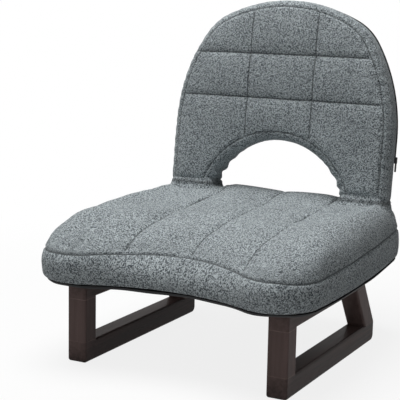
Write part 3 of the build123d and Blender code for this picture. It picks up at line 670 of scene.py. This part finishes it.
def make_seat():
    rings = between_rings([seat_ring(*level) for level in SEAT_LEVELS], 3)
    seat = closed_loft("seat_cover", rings)
    remesh(seat)
    points = get_points(seat)
    top = step_up(*TOP_ZONE, points[:, 2])
    bolster = bell(np.abs(points[:, 0]) - BOLSTER_AT, BOLSTER_WIDTH) * step_up(*BOLSTER_FRONT, points[:, 1])
    bolster *= 1 - step_up(*BOLSTER_REAR, points[:, 1])
    points[:, 2] += top * (BOLSTER_HEIGHT * bolster - DISH_DEPTH * bell(points[:, 0], DISH_WIDTH))
    crest = 1 - step_up(*CREST_SIDES, np.abs(points[:, 0] + CREST_SHIFT))
    crest_height = CREST_HEIGHT - CREST_TILT * points[:, 0]
    points[:, 2] += top * crest * crest_height * bell(points[:, 1] - CREST_AT, CREST_WIDTH)
    outer_panel = step_up(*PANEL_INNER, np.abs(channel_across(points)))
    outer_panel *= 1 - step_up(*PANEL_OUTER, np.abs(points[:, 0]))
    points[:, 2] -= top * PANEL_DROP * outer_panel * step_up(*PANEL_FRONT, points[:, 1])
    beside_back = bell(np.abs(points[:, 0]) - SIDE_DROP_AT[0], SIDE_DROP_WIDTH[0])
    points[:, 2] -= top * SIDE_DROP * beside_back * bell(points[:, 1] - SIDE_DROP_AT[1], SIDE_DROP_WIDTH[1])
    points[:, 0] -= RIGHT_NARROWING * step_up(*RIGHT_ZONE, points[:, 0])
    set_points(seat, points)
    normals = get_normals(seat)
    points = points - normals * SHRINK
    set_points(seat, points)
    above = (points[:, 2] > SEAT_SEAM + 3) & (normals[:, 2] > 0.05)
    held = (points[:, 2] < SEAT_HELD_BELOW) | (np.abs(seam_gap(points, normals)) < SEAT_SEAM_HELD)
    held |= above & (np.abs(channel_gap(points)) < CHANNEL_HELD)
    inflate(seat, held, SEAT_SWELL)
    subdivide(seat)
    points = get_points(seat)
    normals = get_normals(seat)
    seam = seam_gap(points, normals)
    seam_zone = step_up(*SEAT_SEAM_ZONE, points[:, 2])
    above = step_up(2, 12, seam) * step_up(0.0, 0.25, normals[:, 2])
    channel = channel_gap(points)
    _, place = outline_distance(points[:, :2], seat_outline(0, 0, 0, 36.0))
    seam_puckers = puckers(place, 17, 1.5 * ripple(points, 70, 5))
    channel_puckers = puckers(points[:, 1], 15, ripple(points, 60, 8))
    depth = groove(seam, *SEAT_SEAM_GROOVE) * seam_zone
    depth += SEAT_SEAM_PUCKER * beside(seam, 6) * seam_zone * seam_puckers
    depth += above * (groove(channel, *CHANNEL_GROOVE) + roll(channel, *CHANNEL_ROLL))
    depth += above * CHANNEL_PUCKER * beside(channel, 6) * channel_puckers
    depth -= SEAT_UNEVEN * ripple(points, 75, 3) * step_up(*SEAT_UNEVEN_ZONE, points[:, 2])
    points = points - normals * depth[:, None]
    set_points(seat, points)
    on_top = seam > 0
    flat_way = normals[:, :2] / np.maximum(1e-6, np.hypot(*normals[:, :2].T))[:, None]
    slope = np.sqrt(np.maximum(0, 1 - normals[:, 2] ** 2))
    unroll = flat_way * (np.maximum(0, SEAT_TOP - points[:, 2]) * step_up(0.1, 1.0, slope))[:, None]
    weave = np.where(
        on_top[:, None],
        np.column_stack((points[:, 0] + unroll[:, 0], points[:, 1] * TOP_STRETCH + unroll[:, 1], 0 * seam)),
        np.column_stack((place, points[:, 2], 0 * seam + WEAVE_BOXING)),
    )
    below = points[:, 2] < UNDERFACE
    weave[below] = points[below]
    store(seat, "weave", weave)
    # Painted shade along the boxing seam is drawn from these distances.
    store(seat, "seam", np.where(np.abs(seam) < 12, seam, FAR))
    # Painted shade along the stitched channels is drawn from these distances.
    store(seat, "stitch_and_fold_shade", np.where(above > 0.15, channel, FAR))
    dress(seat, fabric)
    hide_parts("seat_cushion")
    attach(seat, "base")
    return seat


# Back cushion


def back_outline(inset, foot_depth=FOOT_DEPTH):
    """The backrest's outline from its front, drawn in by an inset, always with the same count of points."""
    crown_at = np.array((0.0, BACK_TOP - BACK_CROWN_RADIUS))
    side_at = np.array((BACK_HALF - BACK_SIDE_RADIUS, BACK_SIDE_TOP))
    crown_reach = BACK_CROWN_RADIUS - BACK_SHOULDER_RADIUS
    side_reach = BACK_SIDE_RADIUS - BACK_SHOULDER_RADIUS
    apart = np.hypot(*(side_at - crown_at))
    along = (crown_reach**2 - side_reach**2 + apart**2) / (2 * apart)
    across = math.sqrt(crown_reach**2 - along**2)
    way = (side_at - crown_at) / apart
    shoulder_at = crown_at + along * way + across * np.array((way[1], -way[0]))
    side_start = (BACK_HALF - inset, BACK_SIDE_TOP)
    side_end = toward(side_at, shoulder_at, BACK_SIDE_RADIUS - inset)
    crown_end = toward(crown_at, shoulder_at, BACK_CROWN_RADIUS - inset)
    arch_at = (0.0, ARCH_TOP - ARCH_RADIUS)
    arch = ARCH_RADIUS + inset
    foot_inner = (math.sqrt(arch**2 - (foot_depth + arch_at[1]) ** 2), -foot_depth)
    foot_outer = (BACK_HALF - inset, -foot_depth)
    right = np.concatenate(
        (
            arc(arch_at, arch, (0.0, arch_at[1] + arch), foot_inner, 26),
            line(foot_inner, foot_outer, 8),
            line(foot_outer, side_start, 12),
            arc(side_at, BACK_SIDE_RADIUS - inset, side_start, side_end, 16),
            arc(shoulder_at, BACK_SHOULDER_RADIUS - inset, side_end, crown_end, 14),
            arc(crown_at, BACK_CROWN_RADIUS - inset, crown_end, (0.0, BACK_TOP - inset), 16),
            [(0.0, BACK_TOP - inset)],
        )
    )
    return both_sides(right)


# How far forward of the hinge line, and how far drawn in
BACK_LEVELS = (
    (-31.4, 26.0),
    (-30.4, 17.0),
    (-28.8, 10.8),
    (-27.0, 7.0),
    (-24.0, 4.67),
    (-21.0, 2.33),
    (-18.0, 0.1),
    (-12.0, 0.0),
    (2.0, -1.2),
    (9.0, -2.4),
    (13.5, -1.6),
    (17.5, 1.2),
    (20.8, 5.5),
    (23.2, 11.0),
    (24.6, 18.0),
    (25.0, 26.0),
)
BACK_SEAM_INSET = 9.0
ARCH_SEAM_INSET = 11.0
SEAM_RUN_OUT = 25.0
BACK_CROWN = 1.9
BACK_CROWN_ZONE = (4, 75)
REAR_CROWN = 2.0
REAR_CROWN_ZONE = (4, 70)
FRONT_FACE = 10
REAR_FACE = -20
# What the simulation holds, and how far it may move the rest
BACK_SEAM_HELD = 2.6
QUILT_HELD = 2.2
FOOT_HELD_BELOW = -8
BACK_SWELL = 6.0
ARCH_SWELL = 1.0
ARCH_NEAR = 8
# Sewn lines: depth and width of the groove and of the roll, depth of the puckers
BACK_SEAM_GROOVE = (1.6, 1.8)
BACK_SEAM_PUCKER = 0.4
ROW_GROOVE = (1.3, 1.9)
ROW_ROLL = (3.0, 11)
ROW_PUCKER = 0.3
COLUMN_GROOVE = (0.9, 1.7)
COLUMN_ROLL = (1.7, 11)
BACK_UNEVEN = 0.6
# Gathers on both sides of the arch
GATHER_START = (0.55, 1.15)
GATHER_WIDTH = 9
GATHER_PITCH = 18
GATHER_LEFT = 2.2
GATHER_RIGHT = 1.4


def arch_side(local):
    """Distance above the arch's own curve, in the plane of the backrest."""
    return np.hypot(local[:, 0], local[:, 1] - (ARCH_TOP - ARCH_RADIUS)) - ARCH_RADIUS


def back_measures(points):
    """The back cover's points in its own directions, with their distances from the edges and sewn lines."""
    local = to_back(points)
    flat = local[:, :2]
    edge, place = outline_distance(flat, back_outline(0, FOOT_DEPTH + SEAM_RUN_OUT))
    by_arch = arch_side(local) < edge + 0.6
    seam_inset = np.where(by_arch, ARCH_SEAM_INSET, BACK_SEAM_INSET)
    seam = edge - seam_inset
    column = np.abs(flat[:, 0]) - QUILT_COLUMN
    rows = flat[:, 1][:, None] - np.array(QUILT_ROWS)
    row = rows[np.arange(len(rows)), np.abs(rows).argmin(1)]
    return local, edge, place, seam, column, row


def zip_zone(local, edge):
    """1 where the zipper lies on the slanted rear edge, 0 away from it."""
    return (1 - step_up(4.5, 8, np.abs(local[:, 2] + ZIP_MIDDLE))) * (1 - step_up(9, 14, edge))


def make_back():
    rings = []
    for forward, inset in BACK_LEVELS:
        flat = back_outline(inset)
        rings.append(from_back(np.column_stack((flat, np.full(len(flat), forward)))))
    back = closed_loft("back_cover", between_rings(rings, 2))
    remesh(back)
    points = get_points(back)
    normals = get_normals(back)
    local, edge, _, seam, column, row = back_measures(points)
    front_crown = np.where(local[:, 2] > FRONT_FACE, BACK_CROWN * step_up(*BACK_CROWN_ZONE, edge), 0)
    rear_crown = np.where(local[:, 2] < REAR_FACE, REAR_CROWN * step_up(*REAR_CROWN_ZONE, edge), 0)
    local[:, 2] += front_crown - rear_crown
    local[:, 1] *= np.where((local[:, 0] > 0) & (local[:, 1] < 0), RIGHT_FOOT, 1)
    reach = np.hypot(local[:, 1], np.maximum(0, local[:, 2]))
    shorter = np.where(local[:, 1] < 0, np.minimum(1, FOOT_ROUND / np.maximum(1e-6, reach)), 1)
    local[:, 1] *= shorter
    local[:, 2] *= np.where(local[:, 2] > 0, shorter, 1)
    points = from_back(local) - normals * (SHRINK * (1 - zip_zone(local, edge)))[:, None]
    set_points(back, points)
    front = normals @ BACK_FORWARD > 0.2
    panel = front & (seam > 0)
    held = front & (np.abs(seam) < BACK_SEAM_HELD)
    held |= panel & ((np.abs(column) < QUILT_HELD) | (np.abs(row) < QUILT_HELD))
    held |= zip_zone(local, edge) > 0.5
    held |= local[:, 1] < FOOT_HELD_BELOW
    inflate(back, held, np.where(arch_side(local) < ARCH_NEAR, ARCH_SWELL, BACK_SWELL))
    subdivide(back)
    points = get_points(back)
    normals = get_normals(back)
    local, edge, place, seam, column, row = back_measures(points)
    facing = normals @ BACK_FORWARD
    front = step_up(0.1, 0.35, facing)
    panel = front * step_up(0, 4, seam)
    seam_puckers = puckers(place, 16, ripple(points, 60, 11))
    row_puckers = puckers(local[:, 0], 17, ripple(points, 60, 12))
    faces_out = step_up(0.2, 0.6, np.abs(facing))
    depth = groove(seam, *BACK_SEAM_GROOVE) * front
    depth += BACK_SEAM_PUCKER * beside(seam, 6) * front * seam_puckers
    depth += panel * (groove(row, *ROW_GROOVE) + roll(row, *ROW_ROLL))
    depth += panel * (groove(column, *COLUMN_GROOVE) + roll(column, *COLUMN_ROLL))
    depth += panel * ROW_PUCKER * beside(row, 5) * row_puckers
    depth -= BACK_UNEVEN * ripple(points, 80, 13) * faces_out * (1 - zip_zone(local, edge))
    arch_way = local[:, :2] - (0.0, ARCH_TOP - ARCH_RADIUS)
    angle = np.arctan2(np.abs(arch_way[:, 0]), arch_way[:, 1])
    gathers = step_up(*GATHER_START, angle) * bell(np.maximum(0, arch_side(local)), GATHER_WIDTH)
    phase = angle * ARCH_RADIUS * (2 * math.pi / GATHER_PITCH) + local[:, 2] * 0.06
    folds = np.sin(phase + 1.2 * ripple(points, 45, 17))
    depth -= gathers * (np.where(local[:, 0] < 0, GATHER_LEFT, GATHER_RIGHT) * folds - 0.3)
    points = points - normals * depth[:, None]
    set_points(back, points)
    side = (np.abs(facing) < 0.55) | (edge < 2)
    local = to_back(points)
    weave = np.where(
        side[:, None],
        np.column_stack((place, local[:, 2], 0 * edge + WEAVE_BACK_SIDE)),
        np.column_stack((local[:, 0], local[:, 1], np.where(facing > 0, 0.0, WEAVE_REAR))),
    )
    quilting = np.where(np.abs(row) < np.abs(column), row, column)
    store(back, "weave", weave)
    # Painted shade along the front panel's seams is drawn from these distances.
    store(back, "seam", np.where(facing > 0.1, seam, FAR))
    # Painted shade along the quilting lines is drawn from these distances.
    store(back, "stitch_and_fold_shade", np.where(panel > 0.5, quilting, FAR))
    dress(back, fabric)
    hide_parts("back_cushion")
    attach(back, "backrest")


# Gathered sleeves over the hinges

SLEEVE_MIDDLE = (145.5, -3.0)
SLEEVE_HALF = (37.0, 28.5)
SLEEVE_CORNER = 15.0
SLEEVE_AROUND = 132
SLEEVE_ROWS = 26
SLEEVE_TOP = -15.0
SLEEVE_SUNK = 6.0
SLEEVE_BITE = 3.0
REAR_SLACK = 1.3
SLEEVE_THICKNESS = 1.2
# How much lower the flare begins, and how much further the front and the outer side swell
SLEEVE_RIGHT = (0.2, 8.0, -1.0)
SLEEVE_LEFT = (0.0, 4.0, 1.0)


def rounded_box(half_x, half_y, corner, count):
    """Points and outward directions evenly round a rounded rectangle."""
    sides = []
    for x, y, start in ((1, 1, 0), (-1, 1, 90), (-1, -1, 180), (1, -1, 270)):
        angles = np.radians(start + np.linspace(0, 90, 12))
        centre = np.array((x * (half_x - corner), y * (half_y - corner)))
        sides.append(centre + corner * np.stack((np.cos(angles), np.sin(angles)), 1))
    rough = np.concatenate(sides)
    steps = np.hypot(*(np.roll(rough, -1, 0) - rough).T)
    reach = np.concatenate(((0,), np.cumsum(steps)))
    closed = np.concatenate((rough, rough[:1]))
    places = np.arange(count) / count * reach[-1]
    points = np.stack([np.interp(places, reach, closed[:, k]) for k in (0, 1)], 1)
    tangent = np.roll(points, -1, 0) - np.roll(points, 1, 0)
    outward = np.stack((tangent[:, 1], -tangent[:, 0]), 1) / np.hypot(*tangent.T)[:, None]
    return points, outward, places


def surface_tree(piece):
    """A piece's faces, ready to be searched."""
    faces = [tuple(face.vertices) for face in piece.data.polygons]
    return BVHTree.FromPolygons(get_points(piece).tolist(), faces)


def surface_heights(tree, points, missing):
    """Height of the upper surface at each point's place in plan."""
    heights = []
    for x, y in points[:, :2]:
        place = tree.ray_cast(Vector((x, y, 1000.0)), Vector((0, 0, -1)))[0]
        heights.append(missing if place is None else place.z)
    return np.array(heights)


def make_sleeve(name, sign, seat_surface):
    flat, outward, places = rounded_box(*SLEEVE_HALF, SLEEVE_CORNER, SLEEVE_AROUND)
    perimeter = places[-1] + places[1]
    turn = places / perimeter * 2 * math.pi
    tuck, front_swell, outer_swell = SLEEVE_RIGHT if sign > 0 else SLEEVE_LEFT
    frontal = np.clip(-outward[:, 1], 0, 1)
    outer = np.clip(outward[:, 0], 0, 1)
    rows = []
    fold_shades = []
    for k in range(SLEEVE_ROWS):
        down = k / (SLEEVE_ROWS - 1)
        flare = step_up(0.15 + tuck, 1.0, down) ** 1.5
        folds = np.sin(7 * turn + 1.3 * np.sin(3 * turn + sign) + 4.0 * down)
        crease = bell(down - 0.5 - 0.05 * np.sin(3 * turn), 0.05) * step_up(0.2, 0.8, np.sin(2 * turn + sign))
        swell = 0.5 + flare * (4.0 + front_swell * frontal + outer_swell * outer)
        swell = swell + (0.4 + 0.6 * (1 - frontal)) * flare**0.5 * folds
        swell = swell - 1.2 * crease - 4.0 * (1 - step_up(tuck, 0.3 + tuck, down))
        out = flat + outward * np.broadcast_to(swell, turn.shape)[:, None]
        level = np.full(len(out), SLEEVE_TOP)
        local = np.column_stack((SLEEVE_MIDDLE[0] + out[:, 0], level, SLEEVE_MIDDLE[1] - out[:, 1]))
        upper = from_back(local)
        floor_z = SEAT_TOP - SLEEVE_SUNK - 6 * step_up(170, 190, local[:, 0])
        floor_z = floor_z + upper[:, 1] * math.tan(SEAT_RISE)
        seat_z = surface_heights(seat_surface, upper * (sign, 1, 1), SEAT_SEAM)
        floor_z = np.minimum(floor_z, seat_z - SLEEVE_BITE)
        reach = (upper[:, 2] - floor_z) / math.cos(BACK_LEAN)
        local[:, 1] -= reach * down
        rows.append(from_back(local) * (sign, 1, 1))
        # Painted shade in the fold valleys: the lower the value, the darker the cloth.
        fold_shades.append(0.5 + 1.1 * (1 + folds) + 1.5 * (1 - flare))
    faces = loft_faces(SLEEVE_ROWS, SLEEVE_AROUND)
    if sign > 0:
        faces = [face[::-1] for face in faces]
    sleeve = new_piece(name, np.concatenate(rows), faces)
    smooth_shading(sleeve)
    points = get_points(sleeve)
    local = to_back(points)
    around = np.tile(places, SLEEVE_ROWS)
    slack = 1 + REAR_SLACK * np.tile(np.clip(outward[:, 1], 0, 1), SLEEVE_ROWS)
    layer = np.full(len(points), WEAVE_SLEEVE)
    store(sleeve, "weave", np.column_stack((around, local[:, 1] * slack, layer)))
    # Painted shadow: a dark band on the sleeve just under the foot's bottom edge, drawn through the seam
    # shade.
    store(sleeve, "seam", 0.35 * np.abs(local[:, 1] + FOOT_DEPTH * (RIGHT_FOOT if sign > 0 else 1)))
    store(sleeve, "stitch_and_fold_shade", np.concatenate(fold_shades))
    modifier = sleeve.modifiers.new("thickness", "SOLIDIFY")
    modifier.thickness = SLEEVE_THICKNESS * MM
    modifier.offset = -1
    apply_modifiers(sleeve)
    dress(sleeve, fabric)
    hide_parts(name)
    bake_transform(sleeve)
    return sleeve


# Black cloth under the seat, with a rolled hem

# How far drawn in from the seat's outline, and height
CLOTH_RINGS = (
    (6.0, 124.6),
    (7.0, 122.6),
    (9.0, 121.0),
    (12.0, 120.4),
    (15.5, 120.9),
    (18.5, 122.0),
    (23.0, 122.9),
    (32.0, 123.3),
)
CLOTH_INNER = 8
CLOTH_CENTRE = (0.0, 15.0, 123.5)
CLOTH_HEM = 11
CLOTH_WAVE = 0.5
CLOTH_SAG = 2.2


def make_underside():
    rings = []
    for inset, height in CLOTH_RINGS:
        flat = seat_outline(inset, inset, inset, 35.0)
        wave = CLOTH_WAVE * np.sin(np.arange(len(flat)) * 0.55) * bell(inset - CLOTH_HEM, 6)
        sag = CLOTH_SAG * bell(flat[:, 0] + 35, 70) * bell(inset - CLOTH_HEM, 7)
        rings.append(np.column_stack((flat, height + wave - sag)))
    last = rings[-1]
    centre = np.array(CLOTH_CENTRE)
    for k in range(1, CLOTH_INNER + 1):
        share = k / (CLOTH_INNER + 1)
        rings.append(last * (1 - share) + centre * share)
    count = len(last)
    faces = loft_faces(len(rings), count)
    middle = len(rings) * count
    faces += [(middle - count + i, middle - count + (i + 1) % count, middle) for i in range(count)]
    faces = [face[::-1] for face in faces]
    cloth = new_piece("underside_sheet", np.concatenate((*rings, [centre])), faces)
    smooth_shading(cloth)
    dress(cloth, black_cloth)
    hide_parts("underside_cloth")
    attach(cloth, "base")


# Zipper teeth on the tape round the back cushion

TOOTH_PITCH = 1.9
TOOTH = (1.1, 2.4, 0.9)
TOOTH_STAGGER = 0.9
TOOTH_SUNK = 0.15
TOOTH_CORNERS = (
    (-1, -1, 0),
    (1, -1, 0),
    (1, 1, 0),
    (-1, 1, 0),
    (-0.7, -0.8, 1),
    (0.7, -0.8, 1),
    (0.7, 0.8, 1),
    (-0.7, 0.8, 1),
)
TOOTH_FACES = ((0, 3, 2, 1), (4, 5, 6, 7), (0, 1, 5, 4), (1, 2, 6, 5), (2, 3, 7, 6), (3, 0, 4, 7))


def make_teeth():
    outline = back_outline(REAR_EDGE_INSET / 2 - ZIP_LIFT)
    keep = outline[outline[:, 1] > ZIP_END + 10]
    keep = keep[(keep[:, 1] > ARCH_TOP + 40) | (np.abs(keep[:, 0]) > BACK_HALF - 30)]
    order = np.argsort(np.arctan2(keep[:, 0], keep[:, 1] - 60))
    path = keep[order]
    steps = np.hypot(*np.diff(path, axis=0).T)
    reach = np.concatenate(((0,), np.cumsum(steps)))
    places = np.arange(0, reach[-1], TOOTH_PITCH)
    centres = np.stack([np.interp(places, reach, path[:, k]) for k in (0, 1)], 1)
    tangent = np.gradient(centres, axis=0)
    tangent /= np.hypot(*tangent.T)[:, None]
    outward = np.stack((-tangent[:, 1], tangent[:, 0]), 1)
    edge_sin, edge_cos = math.sin(REAR_EDGE_ANGLE), math.cos(REAR_EDGE_ANGLE)
    points, faces = [], []
    for i, (centre, way, out) in enumerate(zip(centres, tangent, outward)):
        shift = TOOTH_STAGGER if i % 2 else -TOOTH_STAGGER
        start = len(points)
        for a, b, c in TOOTH_CORNERS:
            lift = c * TOOTH[2] - TOOTH_SUNK
            side = shift + b * TOOTH[1] / 2
            flat = centre + way * (a * TOOTH[0] / 2) + out * (lift * edge_cos - side * edge_sin)
            points.append((*flat, -ZIP_MIDDLE - lift * edge_sin - side * edge_cos))
        faces += [tuple(start + k for k in face) for face in TOOTH_FACES]
    teeth = new_piece("zip_teeth", from_back(points), faces)
    dress(teeth, black_metal)
    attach(teeth, "backrest")


seat_cover = make_seat()
make_back()
seat_surface = surface_tree(seat_cover)
sleeves = [
    make_sleeve("left_hinge_sleeve", -1, seat_surface),
    make_sleeve("right_hinge_sleeve", 1, seat_surface),
]
for sleeve, side in zip(sleeves, ("left", "right")):
    sleeve.name = side + "_sleeve_cover"
make_underside()
make_teeth()

# The nodes that keep their own shape
FINISHES = {
    "top_rail": dark_wood_level,
    "bottom_rail": dark_wood_level,
    "front_post": dark_wood_upright,
    "rear_post": dark_wood_upright,
    "leg_dowels": plain_wood,
    "seat_board": plain_wood,
    "zip_tape": zip_tape_cloth,
    "zip_slider": black_metal,
    "back_tube": black_metal,
    "back_cross_bar": black_metal,
    "seat_bracket": black_metal,
    "back_plate": black_metal,
}
for name, piece in frame["nodes"].items():
    finish = next((value for key, value in FINISHES.items() if name.endswith(key)), steel)
    dress(piece, finish)

# Stage: a pale floor, soft light from above and a white surround

FLOOR_REACH = 6000.0
FLOOR_BOUNCE = (0.41, 0.41, 0.41)
FLOOR_SEEN = (0.95, 0.95, 0.95)
GLOW_RANGE = {"From Min": 0.3, "From Max": 1.1, "To Min": 0.84, "To Max": 1.0}
SKY_LOW = 0.0
SKY_HIGH = 0.47
SKY_LEFT = 1.2
SKY_RIGHT = 0.22
LAMP_TARGET = (0.0, 0.0, 0.2)
CAMERA_AT = (0.7592, -1.5684, 0.5266)
CAMERA_TURN = (27.503, 9.888, 1.134)
CAMERA_LENS = 108.0
CAMERA_SENSOR = 36.0


def seen_rays(tree):
    """1 for what the camera sees, also in a reflection or through glass, and 0 for bounced light."""
    rays = node(tree, "ShaderNodeLightPath")
    seen = maths(tree, "MAXIMUM", rays.outputs["Is Camera Ray"], rays.outputs["Is Glossy Ray"])
    return maths(tree, "MAXIMUM", seen, rays.outputs["Is Transmission Ray"])


def make_floor():
    material, tree, shader = new_material("floor")
    shader.inputs["Roughness"].default_value = 0.9
    shader.inputs["Specular IOR Level"].default_value = 0.1
    glow = node(tree, "ShaderNodeEmission", {"Color": (1, 1, 1, 1), "Strength": 1.0})
    seen = seen_rays(tree)
    tree.links.new(mix_colour(tree, seen, FLOOR_BOUNCE, FLOOR_SEEN), shader.inputs["Base Color"])
    place = node(tree, "ShaderNodeTexCoord").outputs["Object"]
    away = node(tree, "ShaderNodeVectorMath", {0: place}, operation="LENGTH").outputs["Value"]
    share = node(tree, "ShaderNodeMapRange", {"Value": away, **GLOW_RANGE})
    share.interpolation_type = "SMOOTHSTEP"
    mixed = node(tree, "ShaderNodeMixShader", {0: maths(tree, "MULTIPLY", seen, share.outputs[0])})
    tree.links.new(shader.outputs[0], mixed.inputs[1])
    tree.links.new(glow.outputs[0], mixed.inputs[2])
    tree.links.new(mixed.outputs[0], tree.nodes["Material Output"].inputs["Surface"])
    corners = [(x * FLOOR_REACH, y * FLOOR_REACH, 0) for x, y in ((-1, -1), (1, -1), (1, 1), (-1, 1))]
    floor = new_piece("floor", corners, [(0, 1, 2, 3)])
    dress(floor, material)


def make_world():
    world = bpy.data.worlds.new("surround")
    bpy.context.scene.world = world
    world.use_nodes = True
    tree = world.node_tree
    background = tree.nodes["Background"]
    background.inputs["Color"].default_value = (1, 1, 1, 1)
    way = node(tree, "ShaderNodeSeparateXYZ", {0: node(tree, "ShaderNodeTexCoord").outputs["Generated"]})
    height = spread(tree, way.outputs["Z"], -0.2, 1.0, SKY_LOW, SKY_HIGH)
    side = spread(tree, way.outputs["X"], -1.0, 1.0, SKY_LEFT, SKY_RIGHT)
    strength = maths(tree, "MAXIMUM", maths(tree, "MULTIPLY", height, side), seen_rays(tree))
    tree.links.new(strength, background.inputs["Strength"])


def make_lamp(name, place, target, size, power):
    lamp = bpy.data.lights.new(name, "AREA")
    lamp.shape = "DISK"
    lamp.size = size
    lamp.energy = power
    holder = bpy.data.objects.new(name, lamp)
    bpy.context.scene.collection.objects.link(holder)
    holder.location = place
    holder.rotation_mode = "QUATERNION"
    holder.rotation_quaternion = (Vector(target) - Vector(place)).to_track_quat("-Z", "Y")


def make_camera():
    azimuth, elevation, roll = (math.radians(value) for value in CAMERA_TURN)
    level = math.cos(elevation)
    backward = Vector((math.sin(azimuth) * level, -math.cos(azimuth) * level, math.sin(elevation)))
    right = Vector((0, 0, 1)).cross(backward).normalized()
    up = backward.cross(right)
    right, up = (
        right * math.cos(roll) + up * math.sin(roll),
        up * math.cos(roll) - right * math.sin(roll),
    )
    camera = bpy.data.objects.new("camera", bpy.data.cameras.new("camera"))
    bpy.context.scene.collection.objects.link(camera)
    camera.data.lens = CAMERA_LENS
    camera.data.sensor_width = CAMERA_SENSOR
    turn = Matrix((right, up, backward)).transposed().to_4x4()
    camera.matrix_world = Matrix.Translation(CAMERA_AT) @ turn
    bpy.context.scene.camera = camera


make_floor()
make_world()
make_lamp("overhead", place=(-0.25, -0.1, 1.8), target=LAMP_TARGET, size=1.4, power=26.0)
make_lamp("front", place=(0.7, -2.2, 0.5), target=LAMP_TARGET, size=1.0, power=3.2)
make_camera()
bpy.context.scene.view_settings.view_transform = "Standard"

bpy.context.view_layer.update()
